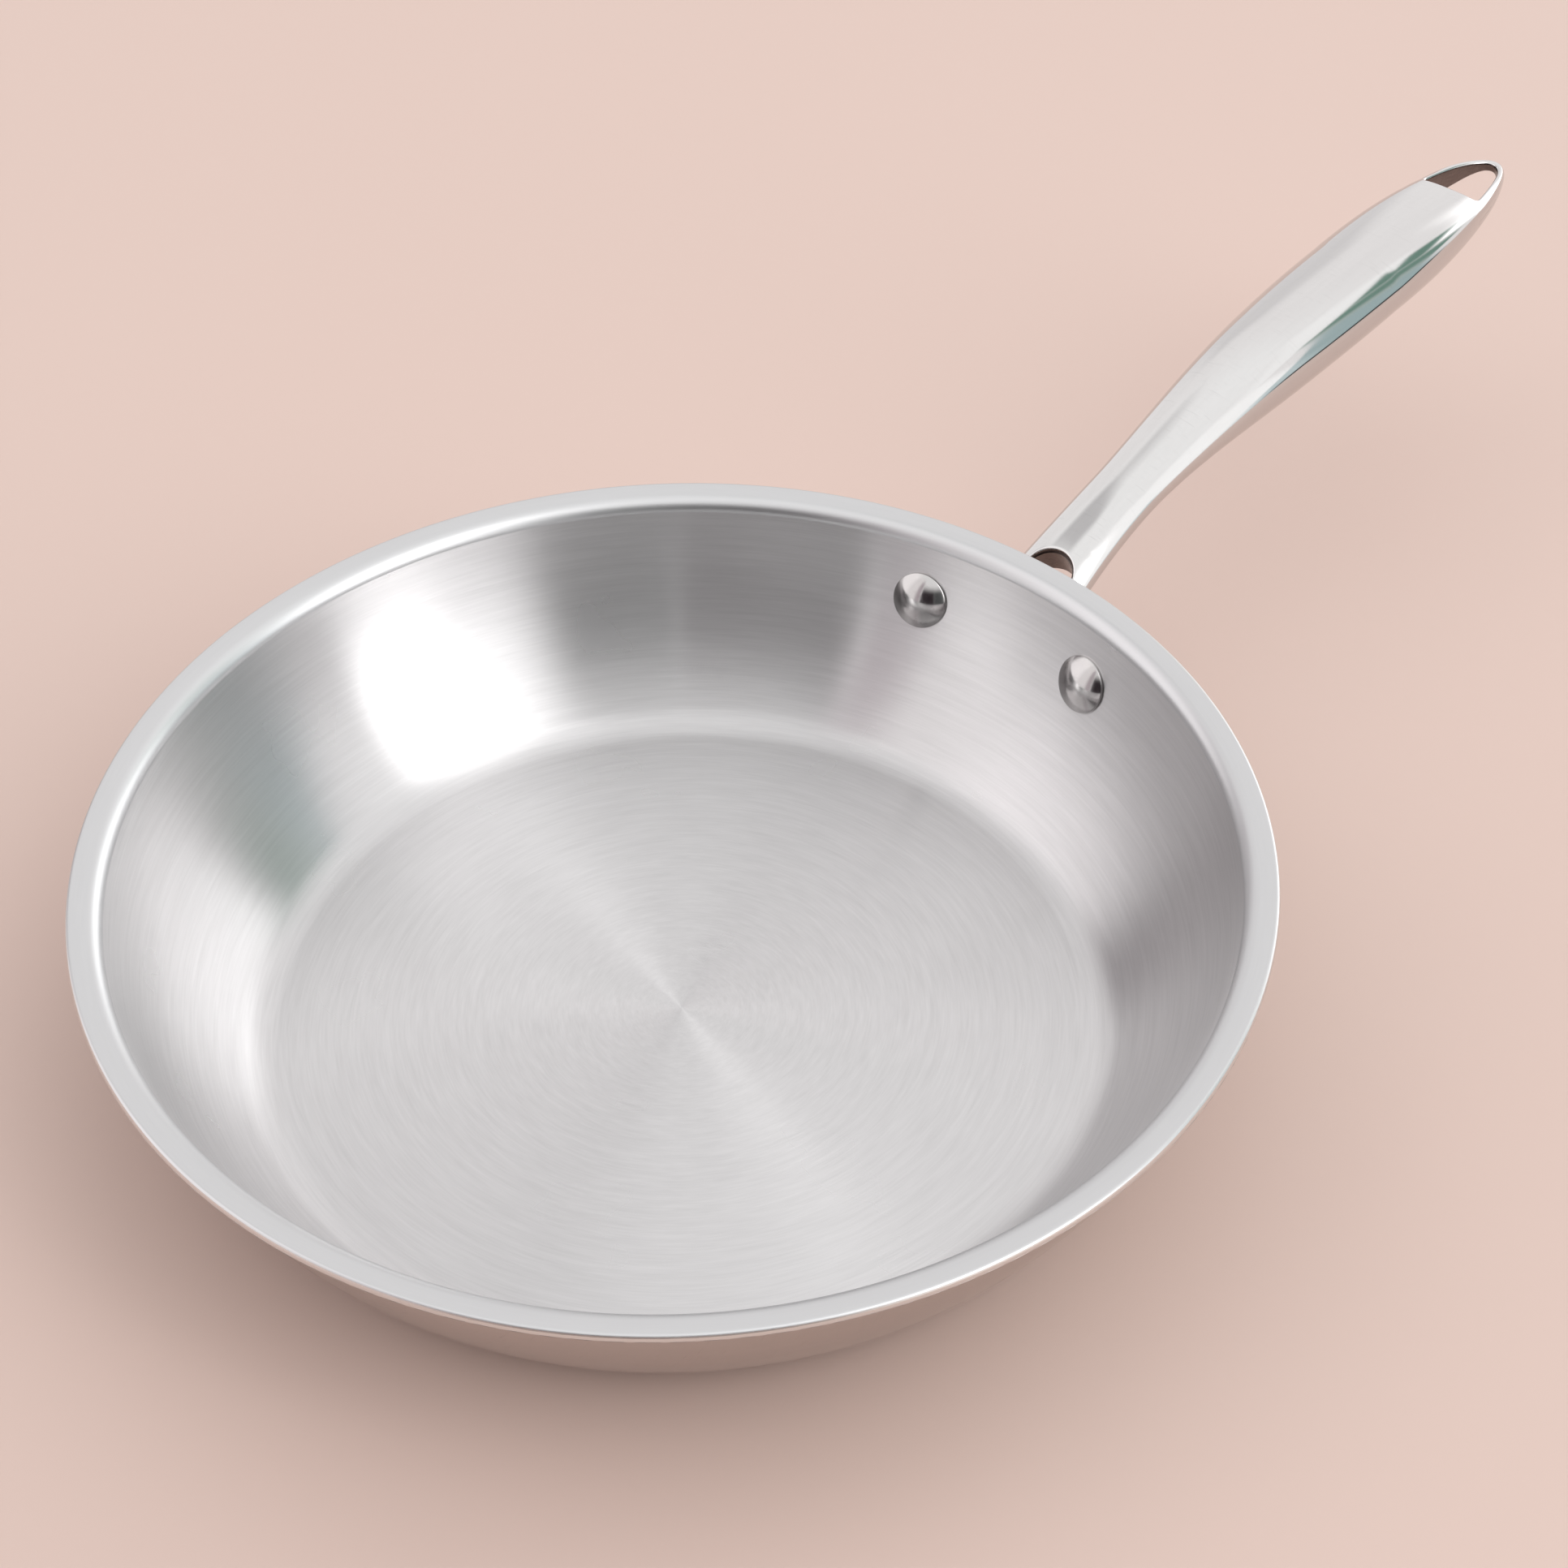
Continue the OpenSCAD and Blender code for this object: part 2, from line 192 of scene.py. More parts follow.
# Rings left by spinning: noise stretched round the axis, read from the run and turn of the piece's
# UV. The turn goes round a circle in the noise, so that the rings close.
rings, given, out = new_group("spun_rings", ["Lines per mm", "Streaks per turn"], ["Lines", "Streaks"])
run_uv = add_node(rings, "ShaderNodeUVMap", uv_map="run").outputs[0]
place = add_node(rings, "ShaderNodeSeparateXYZ", {0: run_uv})
angle = math_node(rings, "MULTIPLY", place.outputs[1], 2 * np.pi)
for output, share, detail in (("Lines", 1.0, 3.0), ("Streaks", 0.35, 2.0)):
    reach = math_node(rings, "MULTIPLY", given["Streaks per turn"], share ** 0.5 / 2)
    depth = math_node(rings, "MULTIPLY", place.outputs[0], uv_mm * share)
    where = add_node(rings, "ShaderNodeCombineXYZ", {
        0: math_node(rings, "MULTIPLY", math_node(rings, "COSINE", angle), reach),
        1: math_node(rings, "MULTIPLY", math_node(rings, "SINE", angle), reach),
        2: math_node(rings, "MULTIPLY", depth, given["Lines per mm"])})
    noise = add_node(rings, "ShaderNodeTexNoise", {
        0: where.outputs[0], "Scale": 1.0, "Detail": detail, "Roughness": 0.6})
    rings.links.new(noise.outputs[0], out[output])

# Hair scratches in three directions and finger marks, read from the object's own place in metres
wear, given, out = new_group("hand_wear", ["Scratch amount"], ["Scratches", "Marks"])
where = add_node(wear, "ShaderNodeTexCoord").outputs["Object"]
hair_scale, hair_low, hair_high = 160, 0.70, 0.76
hairs = []
for turn, stretch in ((0.5, 22), (-0.9, 30), (1.9, 26)):
    laid = add_node(wear, "ShaderNodeMapping", {
        0: where, "Rotation": (0.2, 0.1, turn), "Scale": (stretch * hair_scale, hair_scale, hair_scale)})
    noise = add_node(wear, "ShaderNodeTexNoise", {0: laid.outputs[0], "Scale": 1.0, "Detail": 1.0})
    hair = add_node(wear, "ShaderNodeMapRange", {0: noise.outputs[0], 1: hair_low, 2: hair_high})
    hairs.append(hair.outputs[0])
most = math_node(wear, "MAXIMUM", math_node(wear, "MAXIMUM", hairs[0], hairs[1]), hairs[2])
wear.links.new(math_node(wear, "MULTIPLY", most, given["Scratch amount"]), out["Scratches"])
marks = add_node(wear, "ShaderNodeTexNoise", {0: where, "Scale": 26.0, "Detail": 3.0, "Roughness": 0.55})
wear.links.new(marks.outputs[0], out["Marks"])


def steel(name, colour, dull, group, wants, grain, bump, aniso=0.0, hair=0.5):
    """A worked metal. Colour = colour (1 +- grain) by the lines, darker in a hair scratch, and
    roughness = dull + smear (Marks - 0.5) + scratch_dull Scratches."""
    smear, scratch_dull, scratch_tone, scratch_depth, relief_m = 0.05, 0.15, 0.82, 0.6, 0.0001
    faint, strong = 0.6, 1.4
    material = bpy.data.materials.new(name)
    material.use_nodes = True
    tree = material.node_tree
    shader = tree.nodes["Principled BSDF"]
    lines = add_node(tree, "ShaderNodeGroup", wants, node_tree=group).outputs
    used = add_node(tree, "ShaderNodeGroup", {"Scratch amount": hair}, node_tree=wear).outputs
    both = math_node(tree, "ADD", lines["Lines"], lines["Streaks"])
    level = add_node(tree, "ShaderNodeMapRange", {
        0: both, 1: faint, 2: strong, 3: 1 - grain, 4: 1 + grain})
    tone = add_node(tree, "ShaderNodeMix", {
        "Factor": used["Scratches"], "A": level.outputs[0], "B": scratch_tone})
    tint = add_node(tree, "ShaderNodeVectorMath", {0: colour, 3: tone.outputs[0]}, operation="SCALE")
    smeared = add_node(tree, "ShaderNodeMath", {0: used["Marks"], 1: smear, 2: dull - smear / 2},
                       operation="MULTIPLY_ADD")
    scratched = math_node(tree, "MULTIPLY", used["Scratches"], scratch_dull)
    relief = math_node(tree, "SUBTRACT", both, math_node(tree, "MULTIPLY", used["Scratches"], scratch_depth))
    raised = add_node(tree, "ShaderNodeBump", {"Height": relief, "Strength": bump, "Distance": relief_m})
    tree.links.new(tint.outputs[0], shader.inputs["Base Color"])
    tree.links.new(math_node(tree, "ADD", smeared.outputs[0], scratched), shader.inputs["Roughness"])
    tree.links.new(raised.outputs[0], shader.inputs["Normal"])
    shader.inputs["Metallic"].default_value = 1.0
    if aniso:
        shader.inputs["Anisotropic"].default_value = aniso
        tangent = add_node(tree, "ShaderNodeTangent", direction_type="UV_MAP", uv_map="run")
        tree.links.new(tangent.outputs[0], shader.inputs["Tangent"])
    return material


def finish_piece(piece, node, slot, *materials):
    """Dresses a piece that stands for a CAD node and lets it ride with the pan."""
    for material in materials:
        piece.data.materials.append(material)
    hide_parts(node)
    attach(piece, "root")


spun_steel = steel("spun_steel", (0.625, 0.615, 0.617), 0.28, rings,
                   {"Lines per mm": 2.4, "Streaks per turn": 14.0}, 0.06, 0.10, aniso=1.0, hair=0.0)
blasted_steel = steel("blasted_steel", (0.60, 0.60, 0.605), 0.38, rings,
                      {"Lines per mm": 3.0, "Streaks per turn": 30.0}, 0.015, 0.05, hair=0.0)
cooking_skin = make_piece("bowl_cooking_skin", [spin(layer_outline(0, inner_t, 16, 5))])
finish_piece(cooking_skin, "cooking_skin", "brushed_inside", spun_steel, blasted_steel)

# The faces beyond the wall's end are the lip's, and take the second material
slack = 0.001
centres = np.zeros(len(cooking_skin.data.polygons) * 3)
cooking_skin.data.polygons.foreach_get("center", centres)
on_lip = np.hypot(*centres.reshape(-1, 3)[:, :2].T) > (wall_end[0] - slack) / 1000
cooking_skin.data.polygons.foreach_set("material_index", on_lip.astype(np.int32))


# Aluminium core
# The layer between the skins that spreads the heat. It shows only as a thin line round the lip's
# edge, ground flush with the steel.
aluminium = steel("ground_aluminium", (0.74, 0.735, 0.73), 0.22, rings,
                  {"Lines per mm": 2.0, "Streaks per turn": 20.0}, 0.02, 0.03, hair=0.3)
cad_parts["aluminium_core"].data.materials.clear()
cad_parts["aluminium_core"].data.materials.append(aluminium)


# Outer skin
# The stainless layer outside, buffed to a soft mirror. The pan stands on its flat underside, and its
# lip ends flush with the other layers.
# The warm tint of this colour is a painted reflection of the shaded warm table; the grey under it is the
# steel's own.
buffed_steel_painted_reflection = steel("buffed_steel_painted_reflection", (0.56, 0.515, 0.49), 0.11, rings,
                     {"Lines per mm": 2.2, "Streaks per turn": 16.0}, 0.02, 0.03, aniso=0.35, hair=0.4)
outer_skin = make_piece("bowl_outer_skin", [spin(layer_outline(sheet_t - outer_t, sheet_t, 5, 16))])
finish_piece(outer_skin, "outer_skin", "polished_outside", buffed_steel_painted_reflection)


# Handle shells
# Two pressings of 1.2 mm stainless sheet, welded along the widest line, ground flush and polished.
# The end is solid round a hanging eye, and the vent goes through both shells near the pan.
# A name ends in t for a thickness, w for a width, l for a length, r for a radius, x for a place.
flange_t, rivet_gap, rivet_drop = 2.5, 45, 15.8
joint_t = sheet_t + flange_t
rivet_th = np.arccos((wall_c[1] - (pan_h - rivet_drop)) / wall_r)
rivet_p = wall_c + wall_r * outward(rivet_th)
shell_t, strap_w, side_w, eye_l = 1.2, 2.3, 3.0, 23
tip_x = rim_r + 191
neck_x, grip_x, thick_x, eye_x = rim_r + 33, rim_r + 126, rim_r + 90, tip_x - eye_l
neck_w, root_flare, grip_w = 16.2, 5.4, 26.4
neck_t, grip_t, tail_t = 9.0, 16.5, 1.8
swell_ease, fall_ease = 0.75, 1.6
grip_order, loop_order, band_order = 2.25, 4.0, 2.2
band_start = 4

# The middle line leaves the wall at the rise and ends almost level, drawn out by the two pulls
rise, root_back, root_pull = np.radians(33.5), 6, 47
tip_rise, tip_h, tip_pull = np.radians(1), 8.5, 90
root = wall_c + (wall_r + sheet_t) * outward(rivet_th)
root_way = np.array([np.cos(rise), np.sin(rise)])
tip_way = np.array([np.cos(tip_rise), np.sin(tip_rise)])
line_0 = root - root_back * root_way
line_1 = root + root_pull * root_way
line_3 = np.array([tip_x, pan_h + tip_h])
line_2 = line_3 - tip_pull * tip_way


def middle(t):
    """The handle's middle line (x, z): a cubic Bezier curve with the points line_0 to line_3."""
    t = np.asarray(t, float)[..., None]
    start = (1 - t) ** 3 * line_0 + 3 * t * (1 - t) ** 2 * line_1
    return start + 3 * t ** 2 * (1 - t) * line_2 + t ** 3 * line_3


def heading(t):
    """Derivative of the middle line by t."""
    t = np.asarray(t, float)[..., None]
    start = (1 - t) ** 2 * (line_1 - line_0) + 2 * t * (1 - t) * (line_2 - line_1)
    return 3 * (start + t ** 2 * (line_3 - line_2))


t_fine = np.linspace(0, 1, 8001)
x_fine = middle(t_fine)[:, 0]


def half_width(x):
    """Half the handle's width: a parabola to the neck, a sine-squared swell to the grip, then half
    an ellipse."""
    flare = (neck_w + root_flare * (np.clip(neck_x - x, 0, None) / (neck_x - root[0])) ** 2) / 2
    share = np.clip((x - neck_x) / (grip_x - neck_x), 0, 1)
    swell = (neck_w + (grip_w - neck_w) * np.sin(np.pi / 2 * share ** swell_ease) ** 2) / 2
    end = grip_w / 2 * np.sqrt(np.clip(1 - ((x - grip_x) / (tip_x - grip_x)) ** 2, 0, 1))
    return np.where(x < neck_x, flare, np.where(x < grip_x, swell, end))


def half_thick(x):
    """Half the thickness: level along the neck, a sine-squared rise, then a cosine down to the loop."""
    share = np.clip((x - neck_x) / (thick_x - neck_x), 0, 1)
    body = (neck_t + (grip_t - neck_t) * np.sin(np.pi / 2 * share) ** 2) / 2
    fall = np.clip((x - thick_x) / (tip_x - thick_x), 0, 1) ** fall_ease
    return np.where(x < thick_x, body, (tail_t + (grip_t - tail_t) * np.cos(np.pi / 2 * fall)) / 2)


def squareness(x):
    """Order n of the oval |y/a|^n + |h/b|^n = 1, which squares up from the grip to the loop."""
    return grip_order + (loop_order - grip_order) * np.clip((x - grip_x) / (tip_x - grip_x), 0, 1)


def shell_face(t, y, side, inset):
    """Point of a shell: middle(t), y across, and side * h square to the line, h = b (1 - |y/a|^n)^(1/n).
    Past the eye's near edge the section turns into the loop's own band, rounded over 1 mm at its edges."""
    p, d = middle(t), heading(t)
    d = d / np.linalg.norm(d, axis=-1, keepdims=True)
    x = p[..., 0]
    a, b, n = half_width(x) - inset, half_thick(x) - inset, squareness(x)
    oval = (1 - np.clip(np.abs(y) / np.maximum(a, 1e-6), 0, 1) ** n) ** (1 / n)
    across, along = y / (grip_w / 2), (x - grip_x) / (tip_x - grip_x)
    reach = np.sqrt(along ** 2 + across ** 2)
    slope = np.sqrt((along / (tip_x - grip_x)) ** 2 + (across / (grip_w / 2)) ** 2)
    edge = np.clip((1 - reach) * reach / np.maximum(slope, 1e-9), 0, 1)
    band = (1 - (1 - edge) ** band_order) ** (1 / band_order)
    share = np.clip((x - eye_x) / (tip_x - band_start - eye_x), 0, 1)
    share = share * share * (3 - 2 * share)
    h = side * b * ((1 - share) * oval + share * band)
    return np.stack([x - d[..., 1] * h, y + 0 * x, p[..., 1] + d[..., 0] * h], -1)


# The columns of a shell's grid by the oval's angle, with one through each corner of the eye
side_steps, top_steps = 14, 26
eye_reach = tip_x - strap_w - grip_x
eye_side = (grip_w / 2 - side_w) * np.sqrt(1 - ((eye_x - grip_x) / eye_reach) ** 2)
strap_q = np.arccos((eye_side / half_width(eye_x)) ** (squareness(eye_x) / 2))
q = np.r_[np.linspace(0, strap_q, side_steps + 1),
          np.linspace(strap_q, np.pi - strap_q, top_steps + 1)[1:-1],
          np.linspace(np.pi - strap_q, np.pi, side_steps + 1)]
columns = len(q) - 1
cos_q = np.round(np.cos(q), 12)


def at_angle(t, j, side, inset):
    """The oval's point at the angle q[j], where y = a sign(cos q) |cos q|^(2/n)."""
    x = middle(t)[..., 0]
    y = (half_width(x) - inset) * np.sign(cos_q[j]) * np.abs(cos_q[j]) ** (2 / squareness(x))
    return shell_face(t, y, side, inset)


def root_at(side, inset):
    """Where each column of a shell meets the flange's outer face, found by halving the first
    quarter of the middle line."""
    low, high = np.zeros(columns + 1), np.full(columns + 1, 0.25)
    for _ in range(40):
        mid = (low + high) / 2
        p = at_angle(mid, np.arange(columns + 1), side, inset)
        off = np.hypot(np.hypot(p[:, 0], p[:, 1]) - wall_c[0], p[:, 2] - wall_c[1]) - wall_r - joint_t
        low, high = np.where(off < 0, mid, low), np.where(off < 0, high, mid)
    return low


vent_from_lip, vent_r, vent_round, block_l = 5.2, 6.0, 0.45, 8.6
vent_at = np.interp(rim_r + vent_from_lip, x_fine, t_fine)
vent_p = middle(vent_at)
vent_d = heading(vent_at) / np.linalg.norm(heading(vent_at))
end_at = np.interp(eye_x - strap_w, x_fine, t_fine)
past_vent_at = np.interp(vent_p[0] + block_l, x_fine, t_fine)

# The rows up to the far side of the vent and beyond it, and the first column of the block round it
vent_rows, grip_rows, vent_from = 14, 100, 11


def along_neck(p):
    """How far a point lies along the neck from the vent's axis."""
    return (p[..., 0] - vent_p[0]) * vent_d[0] + (p[..., 2] - vent_p[1]) * vent_d[1]


def near_vent(s, y, side, inset):
    """The face's point that lies s along the neck from the vent's axis and y across, found by
    Newton's rule."""
    t = vent_at + s / np.linalg.norm(heading(vent_at))
    for _ in range(8):
        short = s - along_neck(shell_face(t, y, side, inset))
        t = t + short / np.linalg.norm(heading(t), axis=-1)
    return shell_face(t, y, side, inset)


def with_uv(grid):
    """A grid with its UV: along the handle and across it, in units of uv_mm."""
    return grid, grid[..., :2] / uv_mm


def fade(start, end, steps):
    """Grid of straight, even steps from the points of one list to those of another."""
    share = np.linspace(0, 1, steps + 1)[:, None, None]
    return start + share * (end - start)


def main_face(side, inset):
    """Rows from the flange to the end of the hollow, the grids of them that leave out the block
    round the vent, and the block's outline."""
    start, j = root_at(side, inset), np.arange(columns + 1)
    near = start + np.linspace(0, 1, vent_rows + 1)[:, None] * (past_vent_at - start)
    far = past_vent_at + np.linspace(0, 1, grip_rows + 1)[:, None] * (end_at - past_vent_at) + 0 * start
    rows = at_angle(np.concatenate([near, far[1:]]), j, side, inset)
    left, right = vent_from, columns - vent_from
    grids = [rows[:vent_rows + 1, :left + 1], rows[:vent_rows + 1, right:], rows[vent_rows:]]
    block = rows[:vent_rows + 1, left:right + 1]
    loop = np.concatenate([block[0, :-1], block[:-1, -1], block[-1, :0:-1], block[:0:-1, 0], block[:1, 0]])
    return rows, grids, loop


def ring_of(loop, side, inset, radius, steps):
    """Grid from the block's outline in to a circle round the vent's axis, on the face all the way."""
    s, y = along_neck(loop), loop[:, 1]
    a = np.arctan2(y, s)
    share = np.linspace(0, 1, steps + 1)[:, None]
    grid = near_vent(s + share * (radius * np.cos(a) - s), y + share * (radius * np.sin(a) - y), side, inset)
    grid[0] = loop
    return grid, a


# The eye's outline, as a distance by direction from a point inside it, its corners eased by a bell
eye_c, eye_round = eye_x + 8.0, 0.7
sweep_steps = 1440
sweep = np.linspace(-np.pi, np.pi, sweep_steps + 1)[:-1]
arc = np.linspace(0, np.pi / 2, 600)
far_x = eye_x + (grip_x + eye_reach - eye_x) * np.sin(arc)
far_y = (grip_w / 2 - side_w) * np.sqrt(np.clip(1 - ((far_x - grip_x) / eye_reach) ** 2, 0, 1))
edge_y = np.linspace(0, far_y[0], 200)
far_side = np.stack([far_x, far_y], -1)[::-1]
near_side = np.stack([0 * edge_y + eye_x, edge_y[::-1]], -1)
outline = np.concatenate([far_side, near_side])
outline = np.concatenate([outline, outline[::-1] * [1, -1]]) - [eye_c, 0]
bearing = np.arctan2(outline[:, 1], outline[:, 0])
order = np.argsort(bearing)
eye_radius = np.interp(sweep, bearing[order], np.hypot(*outline.T)[order], period=2 * np.pi)
bell_half, bell_width = 48, 12
bell = np.exp(-0.5 * (np.arange(-bell_half, bell_half + 1) / bell_width) ** 2)
wrapped = np.r_[eye_radius[-bell_half:], eye_radius, eye_radius[:bell_half]]
eye_radius = np.convolve(wrapped, bell / bell.sum(), "valid")
eye_line = np.stack([eye_c + eye_radius * np.cos(sweep), eye_radius * np.sin(sweep)], -1)
eye_out = np.roll(eye_line, -1, 0) - np.roll(eye_line, 1, 0)
eye_out = np.stack([eye_out[:, 1], -eye_out[:, 0]], -1) / np.linalg.norm(eye_out, axis=-1, keepdims=True)


def plan_point(plan, side):
    """The outer face over a place (x, y) of the plan, x being measured on the middle line."""
    return shell_face(np.interp(plan[..., 0], x_fine, t_fine), plan[..., 1], side, 0)


def loop_end(side, row, mids):
    """The solid end: the outer face from the last row and the outline in to the eye, rounded over its edge,
    down the eye's wall to the weld, and back along the flat face that the other shell is welded to."""
    rim_steps, face_steps, round_steps = 96, 18, 6
    limit = np.arccos((middle(end_at)[0] - grip_x) / (tip_x - grip_x))
    a = np.linspace(-1, 1, rim_steps + 1)[1:-1] * limit
    rim_plan = np.stack([grip_x + (tip_x - grip_x) * np.cos(a), grip_w / 2 * np.sin(a)], -1)
    row_plan = np.stack([np.full(columns + 1, middle(end_at)[0]), row[:, 1]], -1)
    start = np.concatenate([row_plan, rim_plan, row_plan[:1]])
    a = np.arctan2(start[:, 1], start[:, 0] - eye_c)
    pick = [np.interp(a, sweep, v, period=2 * np.pi) for v in (*eye_line.T, *eye_out.T)]
    eye, out = np.stack(pick[:2], -1), np.stack(pick[2:], -1)
    out /= np.linalg.norm(out, axis=-1, keepdims=True)
    share = 1 - np.cos(np.linspace(0, np.pi / 2, face_steps + 1))[:, None, None]
    top = eye + eye_round * out
    face = plan_point(start + share * (top - start), side)
    face[0, :columns + 1], face[0, -1] = row, row[0]
    step = 0.02
    drop = side * (face[-1, :, 2] - plan_point(top - step * out, side)[:, 2]) / step
    lean = np.arctan(drop)[None, :]
    bend = lean + np.linspace(0, 1, round_steps + 1)[1:, None] * (np.pi / 2 - lean)
    size = eye_round / (1 - np.sin(lean))
    inward = size * (np.sin(bend) - np.sin(lean))
    down = size * (np.cos(lean) - np.cos(bend))
    rounded = face[-1] + np.stack([-out[:, 0] * inward, -out[:, 1] * inward, -side * down], -1)
    foot = middle(np.interp(eye[:, 0], x_fine, t_fine))
    foot = np.stack([rounded[-1, :, 0], rounded[-1, :, 1], foot[:, 1]], -1)
    skin = np.concatenate([face, rounded, fade(rounded[-1], foot, 2)[1:]])
    seam = np.concatenate([row[:1], mids, row[-1:], face[0, columns + 1:]])
    weld = np.concatenate([foot[:1], foot[:columns + 1], foot[columns:columns + 1], foot[columns + 1:]])
    return skin, np.stack([seam, weld])


def handle_shell(name, side):
    """One shell and the first row of its outer face. It has an outer and an inner face, the vent's mouth
    rounded over a quarter circle, its bore, the solid end, and flat edges at the root and along the weld."""
    rows, grids, loop = main_face(side, 0)
    inner, inner_grids, inner_loop = main_face(side, shell_t)
    mouth_r = vent_r + vent_round
    ring, a = ring_of(loop, side, 0, mouth_r, 9)
    turn = np.linspace(0, np.pi / 2, 6)[1:, None]
    pull = -vent_round * np.sin(turn)
    depth = vent_round * (1 - np.cos(turn))
    mouth = near_vent(0 * turn + mouth_r * np.cos(a), 0 * turn + mouth_r * np.sin(a), side, 0)
    mouth = mouth + np.stack([pull * np.cos(a) * vent_d[0] + side * depth * vent_d[1],
                              pull * np.sin(a) + 0 * depth,
                              pull * np.cos(a) * vent_d[1] - side * depth * vent_d[0]], -1)
    inner_ring, _ = ring_of(inner_loop, side, shell_t, vent_r, 6)
    bore = np.concatenate([ring, mouth, fade(mouth[-1], inner_ring[-1], 1)[1:]])
    mids = inner[-1].copy()
    mids[:, [0, 2]] = middle(end_at)
    skin, weld = loop_end(side, rows[-1], mids)
    sheets = [*grids, *inner_grids, bore, inner_ring, skin, weld, np.stack([inner[-1], mids]),
              np.stack([rows[0], inner[0]]), np.stack([rows[:, 0], inner[:, 0]]),
              np.stack([rows[:, -1], inner[:, -1]])]
    return make_piece(name, [with_uv(g) for g in sheets]), rows[0]


# Lines left by polishing, which run along the handle
handle_lines, given, out = new_group("polish_lines", ["Lines per mm"], ["Lines", "Streaks"])
place = add_node(handle_lines, "ShaderNodeTexCoord").outputs["Object"]
draw_out = 0.03
for output, scale in (("Lines", 1000.0), ("Streaks", 160.0)):
    laid = add_node(handle_lines, "ShaderNodeMapping", {0: place, "Scale": (scale * draw_out, scale, scale)})
    noise = add_node(handle_lines, "ShaderNodeTexNoise", {
        0: laid.outputs[0], "Scale": given["Lines per mm"], "Detail": 3.0})
    handle_lines.links.new(noise.outputs[0], out[output])
polished_steel = steel("polished_steel", (0.655, 0.645, 0.64), 0.09, handle_lines,
                       {"Lines per mm": 1.2}, 0.02, 0.02, hair=0.35)
# This steel's near-black colour is painted shade inside the eye and the vent; cut stainless itself is not so
# dark.
cut_steel_painted_shade = steel("cut_steel_painted_shade", (0.17, 0.14, 0.13), 0.24, handle_lines,
                  {"Lines per mm": 1.5}, 0.22, 0.15, hair=0.5)


def mark_cut_walls_painted_shade(piece):
    """Second material on the walls of the eye and the vent, which are left as they were cut and darkened as
    painted shade.
    """
    near_eye, near_bore, upright = 0.1, 0.05, 0.6
    mesh = piece.data
    middles, normals = np.zeros((2, len(mesh.polygons), 3), np.float32)
    mesh.polygons.foreach_get("center", middles.ravel())
    mesh.polygons.foreach_get("normal", normals.ravel())
    middles = middles * 1000
    from_eye = middles[:, :2] - [eye_c, 0]
    reach = np.interp(np.arctan2(from_eye[:, 1], from_eye[:, 0]), sweep, eye_radius, period=2 * np.pi)
    in_eye = (np.hypot(*from_eye.T) < reach + near_eye) & (np.abs(normals[:, 2]) < upright)
    in_vent = (np.hypot(along_neck(middles), middles[:, 1]) < vent_r + near_bore) & (middles[:, 0] < neck_x)
    mesh.polygons.foreach_set("material_index", (in_eye | in_vent).astype(np.int32))


shell_roots = []
for name, node, side in (("handle_top", "handle_top_shell", 1), ("handle_bottom", "handle_bottom_shell", -1)):
    shell, shell_root = handle_shell(name, side)
    finish_piece(shell, node, "polished_handle", polished_steel, cut_steel_painted_shade)
    mark_cut_walls_painted_shade(shell)
    shell_roots.append(shell_root)


# Vent sleeve
# A short tube between the shells that lines the vent, so that no water gets into the hollow handle.
# Its ends are cut to the shells' inner faces.
sleeve_in, sleeve_out = 5.6, 6.4
sleeve_a = np.linspace(0, 2 * np.pi, 97)
sleeve_a[-1] = 0
sleeve_rings = []
for radius, side in ((sleeve_in, 1), (sleeve_in, -1), (sleeve_out, -1), (sleeve_out, 1), (sleeve_in, 1)):
    sleeve_rings.append(near_vent(radius * np.cos(sleeve_a), radius * np.sin(sleeve_a), side, shell_t))
sleeve = make_piece("vent_tube", [with_uv(np.stack(sleeve_rings))])
# The tube takes the near-black steel, which is painted shade inside the vent.
finish_piece(sleeve, "vent_sleeve", "polished_handle", cut_steel_painted_shade)


# Flange
# A plate of 2.5 mm stainless, curved to the wall, with a round boss behind the neck and a rounded
# wing for each rivet. Its outer edge is broken, and its faces are brushed.
wing_r, boss_r, flange_edge = 8.5, 12.0, 0.6
way = np.linspace(0, 2 * np.pi, 241)
way[-1] = 0
c, s = np.cos(way), np.sin(way)
wing = rivet_gap / 2
bar = np.where(np.abs(c) * wing_r <= np.abs(s) * wing, wing_r / np.maximum(np.abs(s), 1e-9),
               np.abs(c) * wing + np.sqrt(np.clip(wing_r ** 2 - (wing * s) ** 2, 0, None)))
flange_line = np.maximum(bar, boss_r)


def on_wall(y, z, depth):
    """The point of the wall's face at a depth, seen along x at (y, z), from the face's distance r to
    the bowl's axis: r = c_r + sqrt((R + depth)^2 - (c_z - z)^2), x = sqrt(r^2 - y^2)."""
    r = wall_c[0] + np.sqrt((wall_r + depth) ** 2 - (wall_c[1] - z) ** 2)
    return np.stack([np.sqrt(r ** 2 - y ** 2), y, z], -1)


turn = np.linspace(0, np.pi / 2, 6)
grow = np.r_[np.linspace(0, 1, 25)[:-1] * (flange_line.min() - flange_edge) / flange_line.min(), 1]
flat = grow[:, None] * (flange_line - flange_edge)
middle_z = pan_h - rivet_drop
flange_rings = [on_wall(flat * c, middle_z + flat * s, joint_t)]
for a in turn[1:]:
    reach = flange_line - flange_edge * (1 - np.sin(a))
    edge_depth = joint_t - flange_edge * (1 - np.cos(a))
    flange_rings.append(on_wall(reach * c, middle_z + reach * s, edge_depth)[None])
flange_rings.append(on_wall(flange_line * c, middle_z + flange_line * s, sheet_t)[None])
back = np.linspace(1, 0, 25)[1:, None] * flange_line
flange_rings.append(on_wall(back * c, middle_z + back * s, sheet_t))
flange_grid = np.concatenate(flange_rings)
